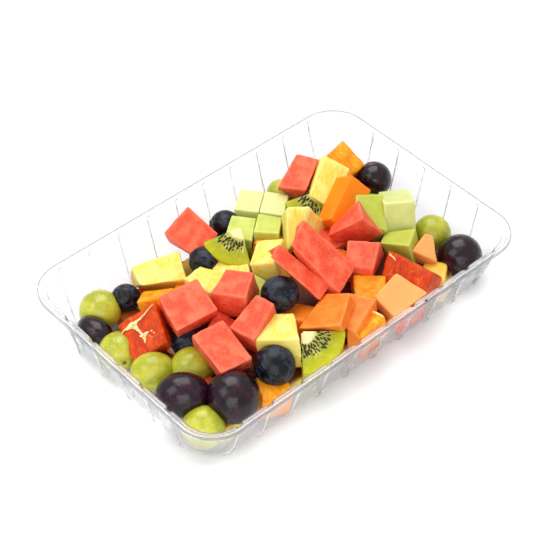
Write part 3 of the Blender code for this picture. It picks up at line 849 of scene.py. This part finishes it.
def keep_finished_mesh(piece):
    """Gives a piece the mesh that its modifiers make, and takes the modifiers off."""
    evaluated = piece.evaluated_get(bpy.context.evaluated_depsgraph_get())
    mesh = bpy.data.meshes.new_from_object(evaluated)
    piece.modifiers.clear()
    rough = piece.data
    piece.data = mesh
    bpy.data.meshes.remove(rough)


def run_tree(piece, group, settings):
    """Puts a tree on a piece, sets its inputs by their identifiers and keeps only the finished mesh."""
    modifier = piece.modifiers.new(group.name, "NODES")
    modifier.node_group = group
    for item in group.interface.items_tree:
        if item.in_out == "INPUT" and item.name in settings:
            modifier[item.identifier] = settings[item.name]
    keep_finished_mesh(piece)


# ---------------------------------------------------------------- mesh parts


def turn_matrix(turn):
    return np.array(Euler([radians(angle) for angle in turn]).to_matrix())


def scaled_to(directions, length):
    """The given vectors at a length, whatever length they had."""
    lengths = np.maximum(np.linalg.norm(directions, axis=1, keepdims=True), 1e-9)
    return directions / lengths * length


class Shape:
    """Points, faces and named values of one or more joined forms, in millimetres."""

    def __init__(self, points, faces, **values):
        self.points = np.asarray(points, float)
        self.faces = faces
        self.values = {name: np.asarray(value, float) for name, value in values.items()}

    def moved(self, centre, turn):
        self.points = self.points @ turn_matrix(turn).T + np.array(centre, float)
        return self


def join_shapes(shapes):
    points = np.concatenate([shape.points for shape in shapes])
    starts = np.cumsum([0] + [len(shape.points) for shape in shapes])
    faces = []
    for shape, start in zip(shapes, starts):
        faces += [[start + index for index in face] for face in shape.faces]
    names = shapes[0].values
    values = {name: np.concatenate([shape.values[name] for shape in shapes]) for name in names}
    return Shape(points, faces, **values)


def make_piece(name, shape, material):
    """A mesh object from a shape, its named values as point attributes."""
    mesh = bpy.data.meshes.new(name)
    mesh.from_pydata((shape.points * MM).tolist(), [], shape.faces)
    for label, value in shape.values.items():
        kind = "FLOAT_VECTOR" if value.ndim == 2 else "FLOAT"
        attribute = mesh.attributes.new(label, kind, "POINT")
        attribute.data.foreach_set("vector" if value.ndim == 2 else "value", value.ravel())
    mesh.shade_smooth()
    mesh.materials.append(material)
    piece = bpy.data.objects.new(name, mesh)
    bpy.context.scene.collection.objects.link(piece)
    return piece


def cube_lattice(steps):
    """Points and quads over a cube from -1 to 1, the points closer together towards its edges."""
    numbers = {}
    quads = []
    for axis in range(3):
        for end in (0, steps):
            for i in range(steps):
                for j in range(steps):
                    corners = []
                    for pair in ((i, j), (i + 1, j), (i + 1, j + 1), (i, j + 1)):
                        key = list(pair)
                        key.insert(axis, end)
                        corners.append(numbers.setdefault(tuple(key), len(numbers)))
                    if (end == 0) != (axis == 1):
                        corners.reverse()
                    quads.append(corners)
    flat = np.array(list(numbers), float) / steps * 2 - 1
    return 0.45 * flat + 0.55 * np.sin(flat * pi / 2), quads


def rounded(unit, half, radius):
    """The lattice at a box's half sizes, with its edges rounded to a radius."""
    points = unit * half
    inner = np.clip(points, -(half - radius), half - radius)
    return inner + scaled_to(points - inner, radius)


def edge_nearness(unit, half, reach):
    """One along a block's edges, falling to zero at the reach from them."""
    gaps = np.sort((1 - np.abs(unit)) * half, axis=1)
    return np.clip(1 - gaps[:, 1] / reach, 0, 1)


def corner_pulls(unit, pulls):
    """How far each place in a block moves when its corners are pulled."""
    moved = np.zeros((len(unit), 3))
    for corner, pull in pulls.items():
        x, y, z = [1 if corner & bit else -1 for bit in (1, 2, 4)]
        weight = (1 + x * unit[:, 0]) * (1 + y * unit[:, 1]) * (1 + z * unit[:, 2]) / 8
        moved += weight[:, None] * np.array(pull, float)
    return moved


def grain_place(points, chance):
    """Where each point lies in the grain's pattern, somewhere else for each block."""
    return points + chance.uniform(-GRAIN_ROOM, GRAIN_ROOM, 3)


def cut_block(lattice, row, chance, radius, tone=PLAIN_TONE):
    """A knife-cut block, its +Y end narrowed or widened and its pulled corners moved, a little off true."""
    centre, turn, size, taper = row[:4]
    pulls = row[4] if len(row) > 4 else {}
    unit, quads = lattice
    half = np.array(size, float) / 2
    points = rounded(unit, half, radius)
    share = (unit[:, 1] + 1) / 2
    points[:, 0] *= 1 + (taper - 1) * share
    points += corner_pulls(unit, pulls)
    strays = {corner: chance.uniform(-CORNER_STRAY, CORNER_STRAY, 3) for corner in range(8)}
    points += corner_pulls(unit, strays)
    shape = Shape(
        points,
        quads,
        grain=grain_place(points, chance),
        edge=edge_nearness(unit, half, EDGE_REACH),
        tone=np.full(len(unit), tone),
    )
    return shape.moved(centre, turn)


def pith_strip(lattice, row, start, end, widths, chance):
    """A raised strip of pith on a block's top face, its width running from one value to the other."""
    centre, turn, size = row[:3]
    unit, quads = lattice
    start, end = np.array(start, float), np.array(end, float)
    along = end - start
    length = np.linalg.norm(along)
    points = rounded(unit, np.array([length / 2 + PITH_OVERLAP, 1.0, PITH_RAISE]), PITH_ROUND)
    share = np.clip(points[:, 0] / length + 0.5, 0, 1)
    width = widths[0] + (widths[1] - widths[0]) * share
    sway = PITH_SWAY * np.sin(share * 5 + chance.uniform(0, 6))
    across = points[:, 1] * width / 2 + sway
    along /= length
    side = np.array([-along[1], along[0]])
    middle = (start + end) / 2
    flat = middle + points[:, :1] * along + across[:, None] * side
    half = np.array(size, float) / 2
    raised = np.column_stack([flat, points[:, 2] + half[2]])
    raised += corner_pulls(raised / half, row[4] if len(row) > 4 else {})
    return Shape(raised, quads).moved(centre, turn)


def ball(segments, rings):
    """Points on a unit ball with its poles along Z, quads and end fans."""
    points = [(0.0, 0.0, 1.0)]
    for ring in range(1, rings):
        polar = pi * ring / rings
        for segment in range(segments):
            angle = 2 * pi * segment / segments
            points.append((sin(polar) * cos(angle), sin(polar) * sin(angle), cos(polar)))
    points.append((0.0, 0.0, -1.0))
    faces = []
    for segment in range(segments):
        after = (segment + 1) % segments
        faces.append([0, 1 + segment, 1 + after])
        for ring in range(rings - 2):
            upper = 1 + ring * segments
            lower = upper + segments
            faces.append([upper + segment, lower + segment, lower + after, upper + after])
        last = 1 + (rings - 2) * segments
        faces.append([last + after, last + segment, len(points) - 1])
    return np.array(points), faces


def whole_fruit(base, half_sizes, stem, chance, dimple, crown):
    """A grape or berry: a ball with a dimpled stem end, or a crown of lobes, towards the stem direction."""
    unit, faces = base
    polar = np.arccos(np.clip(unit[:, 2], -1, 1))
    around = np.arctan2(unit[:, 1], unit[:, 0])
    length = np.ones(len(unit))
    length -= dimple * np.exp(-((polar / DIMPLE_WIDTH) ** 2))
    length += LOPSIDED * np.sin(2 * around + chance.uniform(0, 6)) * np.sin(polar) ** 2
    if crown:
        lobes = 1 + LOBE_SHARE * np.cos(CROWN_LOBES * around + chance.uniform(0, 6))
        length += crown * lobes * np.exp(-(((polar - CROWN_ANGLE) / CROWN_WIDTH) ** 2))
        length -= crown * HOLLOW_SHARE * np.exp(-((polar / HOLLOW_WIDTH) ** 4))
    points = unit * length[:, None]
    turn = np.array(Vector((0, 0, 1)).rotation_difference(Vector(stem)).to_matrix())
    points = points @ turn.T * np.array(half_sizes, float)
    grain = grain_place(points, chance)
    scar = np.exp(-((polar / (BERRY_SCAR if crown else GRAPE_SCAR)) ** 4))
    track = np.stack([around, polar * 2, np.full(len(unit), chance.uniform(0, 50))], axis=1)
    return Shape(points, faces, grain=grain, scar=scar, polar=track)


def kiwi_sector(lattice, core, turn, radius, thickness, sweep, chance):
    """A sector of a thick slice, from its core's axis out to the peeled edge: a block bent round the core.

    The block is as long as the arc at KIWI_ARC of the radius, so that its edges are rounded evenly.
    """
    unit, quads = lattice
    half_sweep = radians(sweep) / 2
    half = np.array([radius * half_sweep * KIWI_ARC, radius / 2, thickness / 2])
    box = rounded(unit, half, KIWI_ROUND)
    share = (box[:, 1] + half[1]) / (2 * half[1])
    angle = half_sweep + box[:, 0] / half[0] * half_sweep
    reach = KIWI_ROUND + share * (radius - KIWI_ROUND)
    depth = box[:, 2] - half[2]
    away = np.stack([np.cos(angle), np.sin(angle), np.zeros(len(unit))], axis=1)
    points = away * reach[:, None]
    points[:, 2] = depth
    on_edge = np.abs(unit) > 0.999
    cut_face = (on_edge[:, 0] | on_edge[:, 2]) & (~on_edge[:, 1])
    shape = Shape(
        points,
        quads,
        grain=grain_place(points, chance),
        slice=np.stack([share, angle, depth * KIWI_RAY_TURN], axis=1),
        cut_face=cut_face.astype(float),
        to_core=-away @ turn_matrix(turn).T,
    )
    return shape.moved(core, turn)


def tray_half_sizes():
    """Half sizes of the rim, the base and the wall's top."""
    rim = np.array([cad_high.x, cad_high.y]) / MM
    return rim, rim - np.array(BASE_INSET), rim - FLANGE


def keep_inside(points):
    """Presses points in against the tray's walls and floor, as the fruit lies against them."""
    _, base, wall = tray_half_sizes()
    height = points[:, 2]
    slope = (wall - base) / (LEDGE_HEIGHT - BASE_ROUND)
    room = base + slope * (height[:, None] - BASE_ROUND) - SHEET - WALL_GAP
    low = np.clip((BASE_ROUND - height) / BASE_ROUND, 0, 1)
    room -= (1 - np.sqrt(1 - low**2))[:, None] * BASE_ROUND
    corner = np.interp(height, [0, LEDGE_HEIGHT], [BASE_CORNER, RIM_CORNER - FLANGE])[:, None]
    flat = np.clip(points[:, :2], -room, room)
    arc_middle = np.clip(flat, -(room - corner), room - corner)
    outward = flat - arc_middle
    length = np.linalg.norm(outward, axis=1, keepdims=True)
    points[:, :2] = arc_middle + scaled_to(outward, np.minimum(length, corner))
    points[:, 2] = np.clip(height, SHEET + WALL_GAP, cad_high.z / MM - TOP_GAP)
    return points


# ---------------------------------------------------------------- pieces


def finish_piece(piece, node="fruit_heap"):
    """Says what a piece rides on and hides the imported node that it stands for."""
    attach(piece, "root")
    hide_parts(node)


def press_in(piece):
    """Keeps every point of a finished mesh clear of the tray."""
    count = len(piece.data.vertices)
    points = np.empty(count * 3)
    piece.data.vertices.foreach_get("co", points)
    points = keep_inside(points.reshape(-1, 3) / MM) * MM
    piece.data.vertices.foreach_set("co", points.ravel())
    piece.data.update()


def cut_relief(piece, tree, material, wave_depth, wave_size, grain_depth, grain_size, stretch=EVEN_GRAIN):
    """Runs the knife-cut tree on a piece; depths and sizes in millimetres."""
    run_tree(piece, tree, {
        "Wave Depth": wave_depth,
        "Wave Size": wave_size,
        "Grain Depth": grain_depth,
        "Grain Size": grain_size,
        "Grain Stretch": stretch,
        "Material": material,
    })


def make_cut_fruit(relief_tree, chance):
    """Each kind with its blocks, flesh, edge radius, and its relief's wave and grain depths and sizes."""
    lattice = cube_lattice(BLOCK_STEPS)
    kinds = [
        ("watermelon", WATERMELON, watermelon_flesh(), 1.0, (0.45, 7.0, 0.22, 1.3)),
        ("pineapple", PINEAPPLE, pineapple_flesh(), 1.3, (0.6, 8.0, 0.35, 1.5, FIBRE_GRAIN)),
        ("honeydew", HONEYDEW, honeydew_flesh(), 0.8, (0.3, 9.0, 0.08, 1.5)),
        ("cantaloupe", CANTALOUPE, cantaloupe_flesh(), 1.0, (0.4, 9.0, 0.10, 1.5)),
        ("orange", ORANGE, orange_flesh(), 1.2, (0.6, 7.0, 0.3, 1.6)),
        ("blood_orange", BLOOD_ORANGE, blood_orange_flesh(), 1.4, (0.8, 8.0, 0.3, 1.6)),
    ]
    for name, rows, material, radius, relief in kinds:
        tones = TONES.get(name, [PLAIN_TONE] * len(rows))
        blocks = [cut_block(lattice, row, chance, radius, tone) for row, tone in zip(rows, tones)]
        piece = make_piece(name, join_shapes(blocks), material)
        cut_relief(piece, relief_tree, material, *relief)
        press_in(piece)
        finish_piece(piece)


def make_pith(chance):
    """White pith and membranes left on the cut citrus."""
    lattice = cube_lattice(PITH_STEPS)
    shapes = []
    for row, strips in PITH:
        shapes += [pith_strip(lattice, row, *strip, chance) for strip in strips]
    piece = make_piece("pith", join_shapes(shapes), pale_pith())
    press_in(piece)
    finish_piece(piece)


def make_loose_bits(seed_coat, chance):
    """The scrap and the crumb, at tones 0 and 1, and the seed."""
    lattice = cube_lattice(SCRAP_STEPS)
    blocks = [cut_block(lattice, row, chance, SCRAP_ROUND, tone) for tone, row in enumerate(LOOSE_BITS)]
    piece = make_piece("loose_bits", join_shapes(blocks), scrap_flesh())
    press_in(piece)
    finish_piece(piece)
    unit, faces = ball(*SEED_BALL)
    seed_shape = Shape(unit * LOOSE_SEED_HALF + np.array(LOOSE_SEED), faces)
    seed = make_piece("loose_seed", seed_shape, seed_coat)
    finish_piece(seed)


def make_core(chance):
    """A low bed of mixed pieces, so that the gaps between the fruit show more fruit."""
    lattice = cube_lattice(SLAB_STEPS)
    slabs = []
    for west, east, south, north, low, high in MOUND:
        centre = ((west + east) / 2, (south + north) / 2, (low + high) / 2)
        size = (east - west - MOUND_EASE, north - south - MOUND_EASE, high - low - MOUND_EASE)
        slabs.append(cut_block(lattice, (centre, (0, 0, 0), size, 1.0), chance, MOUND_ROUND))
    piece = make_piece("low_core", join_shapes(slabs), sunken_flesh())
    press_in(piece)
    finish_piece(piece)


def make_kiwi(relief_tree, seed_coat, chance):
    lattice = cube_lattice(SLAB_STEPS)
    shape = join_shapes([kiwi_sector(lattice, *row, chance) for row in KIWI])
    flesh = kiwi_flesh()
    piece = make_piece("kiwi", shape, flesh)
    cut_relief(piece, relief_tree, flesh, 0.3, 6.0, 0.1, 1.2)
    press_in(piece)
    finish_piece(piece)
    seeds = make_piece("kiwi_seeds", shape, seed_coat)
    run_tree(seeds, kiwi_seed_tree(), {"Material": seed_coat})
    press_in(seeds)
    finish_piece(seeds)


def make_whole_kind(name, rows, material, base, chance, dimple, crown=0.0):
    """All fruit of one whole kind as one piece; the dimple and the crown are shares of its size."""
    shapes = []
    for centre, half_sizes, turn, stem in rows:
        fruit = whole_fruit(base, half_sizes, stem, chance, dimple, crown)
        shapes.append(fruit.moved(centre, (0, 0, turn)))
    piece = make_piece(name, join_shapes(shapes), material)
    press_in(piece)
    finish_piece(piece)


def make_whole_fruit(chance):
    grape = ball(*GRAPE_BALL)
    berry = ball(*BERRY_BALL)
    make_whole_kind("green_grapes", GREEN_GRAPES, green_grape_skin(), grape, chance, dimple=0.10)
    make_whole_kind("dark_grapes", DARK_GRAPES, dark_grape_skin(), grape, chance, dimple=0.07)
    make_whole_kind("blueberries", BLUEBERRIES, blueberry_skin(), berry, chance, dimple=0.0, crown=0.07)


def rounded_rectangle(half, corner, step):
    """Points round a rectangle with arc corners, anticlockwise, with the outward direction at each."""
    points = []
    outward = []
    straight = half - corner
    arc_steps = max(8, round(corner * pi / 2 / step))
    for quarter in range(4):
        heading = quarter * pi / 2
        turn = Matrix.Rotation(heading, 2)
        reach, side = (half[0], straight[1]) if quarter % 2 == 0 else (half[1], straight[0])
        flat_steps = round(2 * side / step)
        for index in range(flat_steps):
            along = -side + 2 * side * index / flat_steps
            points.append(turn @ Vector((reach, along)))
            outward.append(turn @ Vector((1, 0)))
        for index in range(arc_steps):
            angle = pi / 2 * index / arc_steps
            direction = Vector((cos(angle), sin(angle)))
            points.append(turn @ (Vector((reach - corner, side)) + direction * corner))
            outward.append(turn @ direction)
    return np.array(points), np.array(outward)


def tray_profile():
    """The sheet's outline from the floor up to the lip: half sizes, corner, height, share of the ribs."""
    rim, base, wall = tray_half_sizes()
    wall_corner = RIM_CORNER - FLANGE
    top = cad_tray_top - SHEET
    levels = []
    for step in range(ROUND_STEPS + 1):
        angle = pi / 2 * step / ROUND_STEPS
        inset = BASE_ROUND * (1 - sin(angle))
        share = max(0.0, step - 2) / (ROUND_STEPS - 2) * RIB_SHARE_LOW
        levels.append((base - inset, BASE_CORNER - inset, BASE_ROUND * (1 - cos(angle)), share))
    for step in range(1, WALL_STEPS + 1):
        part = step / WALL_STEPS
        corner = BASE_CORNER + (wall_corner - BASE_CORNER) * part
        height = BASE_ROUND + (LEDGE_HEIGHT - LEDGE_ROUND - BASE_ROUND) * part
        share = RIB_SHARE_LOW + (1 - RIB_SHARE_LOW) * part
        levels.append((base + (wall - base) * part, corner, height, share))
    ledge = wall + RIB_DEPTH
    ledge_corner = wall_corner + RIB_DEPTH
    lip = rim - SHEET
    levels += [
        (wall + 0.2, wall_corner + 0.2, LEDGE_HEIGHT - 0.25, 0.96),
        (wall + 0.7, wall_corner + 0.7, LEDGE_HEIGHT + 0.05, 0.72),
        (ledge, ledge_corner, LEDGE_HEIGHT + 0.3, 0.0),
        (ledge + 0.3, ledge_corner + 0.3, LEDGE_HEIGHT + 0.5, 0.0),
        (ledge + 0.5, ledge_corner + 0.5, top - 0.3, 0.0),
        (ledge + 0.9, ledge_corner + 0.9, top, 0.0),
        (lip - LEDGE_STEP, RIM_CORNER - LEDGE_STEP, top, 0.0),
        (lip - 0.35, RIM_CORNER - 0.35, top - 0.15, 0.0),
        (lip, RIM_CORNER, top - 0.6, 0.0),
        (lip, RIM_CORNER, cad_tray_top - LIP_DROP, 0.0),
    ]
    return levels


def make_tray():
    """One skin lofted through the profile, its ribs pressed by the tree, then as thick as the sheet."""
    rim, _, _ = tray_half_sizes()
    ring, outward = rounded_rectangle(rim, RIM_CORNER, OUTLINE_STEP)
    count = len(ring)
    points = []
    shares = []
    corner_middle = rim - RIM_CORNER
    middle = np.clip(ring, -corner_middle, corner_middle)
    for half, corner, height, share in tray_profile():
        stretch = (half - corner) / corner_middle
        flat = middle * stretch + outward * corner
        points.append(np.column_stack([flat, np.full(count, height)]))
        shares.append(np.full(count, share))
    levels = len(points)
    faces = []
    for level in range(levels - 1):
        low = level * count
        for index in range(count):
            after = (index + 1) % count
            faces.append([low + index, low + after, low + count + after, low + count + index])
    faces.append(list(range(count))[::-1])
    # Painted shade: the lip rings take the painted grey of the clear sheet
    painted_lip_grey = np.zeros(levels * count)
    painted_lip_grey[-LIP_RINGS * count:] = 1.0
    shape = Shape(
        np.concatenate(points),
        faces,
        outward=np.tile(np.column_stack([outward, np.zeros(count)]), (levels, 1)),
        rib_share=np.concatenate(shares),
        rim=painted_lip_grey,
    )
    material = clear_sheet()
    tray = make_piece("clear_tray", shape, material)
    run_tree(tray, press_ribs_tree(), {"Material": material})
    sheet = tray.modifiers.new("sheet", "SOLIDIFY")
    sheet.thickness = SHEET * MM
    sheet.offset = -1.0
    keep_finished_mesh(tray)
    tray.data.shade_smooth()
    tray.data.set_sharp_from_angle(angle=radians(CREASE_ANGLE))
    finish_piece(tray, "tray")


# ---------------------------------------------------------------- stage, light and camera


def make_floor():
    material, tree = new_material("white sweep")
    finish_material(tree, {"Base Color": FLOOR_COLOUR, "Roughness": 0.7})
    bpy.ops.mesh.primitive_plane_add(size=FLOOR_SIZE)
    floor = bpy.context.object
    floor.name = "floor"
    floor.data.materials.append(material)


def make_world():
    """A pale studio, brighter overhead than at the horizon."""
    world = bpy.data.worlds.new("studio")
    bpy.context.scene.world = world
    world.use_nodes = True
    world.node_tree.nodes.clear()
    tree = Tree(world.node_tree)
    up = tree.split(tree.add("ShaderNodeTexCoord").outputs["Generated"])[2]
    colour = tree.blend(tree.fade(up, 0.05, 0.75), HORIZON_COLOUR, OVERHEAD_COLOUR)
    background = tree.add("ShaderNodeBackground", {"Color": colour, "Strength": STUDIO_STRENGTH})
    output = tree.add("ShaderNodeOutputWorld")
    tree.feed(output.inputs["Surface"], background.outputs[0])


def make_softbox(name, azimuth, elevation, distance, size, power):
    """A square softbox aimed at the heap; azimuth 0 stands in front, towards -Y, and 90 to the right."""
    round_to = radians(azimuth)
    up = radians(elevation)
    place = Vector((sin(round_to) * cos(up), -cos(round_to) * cos(up), sin(up))) * distance
    data = bpy.data.lights.new(name, "AREA")
    data.energy = power
    data.size = size
    light = bpy.data.objects.new(name, data)
    light.location = place
    light.rotation_euler = (-place).to_track_quat("-Z", "Y").to_euler()
    bpy.context.scene.collection.objects.link(light)


def make_camera():
    data = bpy.data.cameras.new("camera")
    data.lens = CAMERA_LENS
    data.clip_start = CLIP_START
    camera = bpy.data.objects.new("camera", data)
    place = Vector(CAMERA_PLACE) * MM
    camera.location = place
    camera.rotation_euler = (Vector(CAMERA_TARGET) * MM - place).to_track_quat("-Z", "Y").to_euler()
    bpy.context.scene.collection.objects.link(camera)
    bpy.context.scene.camera = camera
    bpy.context.scene.view_settings.view_transform = "Standard"


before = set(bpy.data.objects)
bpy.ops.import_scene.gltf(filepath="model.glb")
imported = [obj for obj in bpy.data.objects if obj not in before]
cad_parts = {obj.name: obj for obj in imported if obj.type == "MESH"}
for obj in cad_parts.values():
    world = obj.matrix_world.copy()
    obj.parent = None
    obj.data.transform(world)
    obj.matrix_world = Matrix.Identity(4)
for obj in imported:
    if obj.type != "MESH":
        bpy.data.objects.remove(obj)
cad_low, cad_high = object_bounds()
cad_tray_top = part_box("tray")[1][2] / MM
relief_tree = knife_cut_tree()
seed_coat = kiwi_seed_coat()
chance = np.random.default_rng(7)
make_cut_fruit(relief_tree, chance)
make_pith(chance)
make_core(chance)
make_kiwi(relief_tree, seed_coat, chance)
make_loose_bits(seed_coat, chance)
make_whole_fruit(chance)
make_tray()
make_floor()
make_world()
for softbox in SOFTBOXES:
    make_softbox(*softbox)
make_camera()
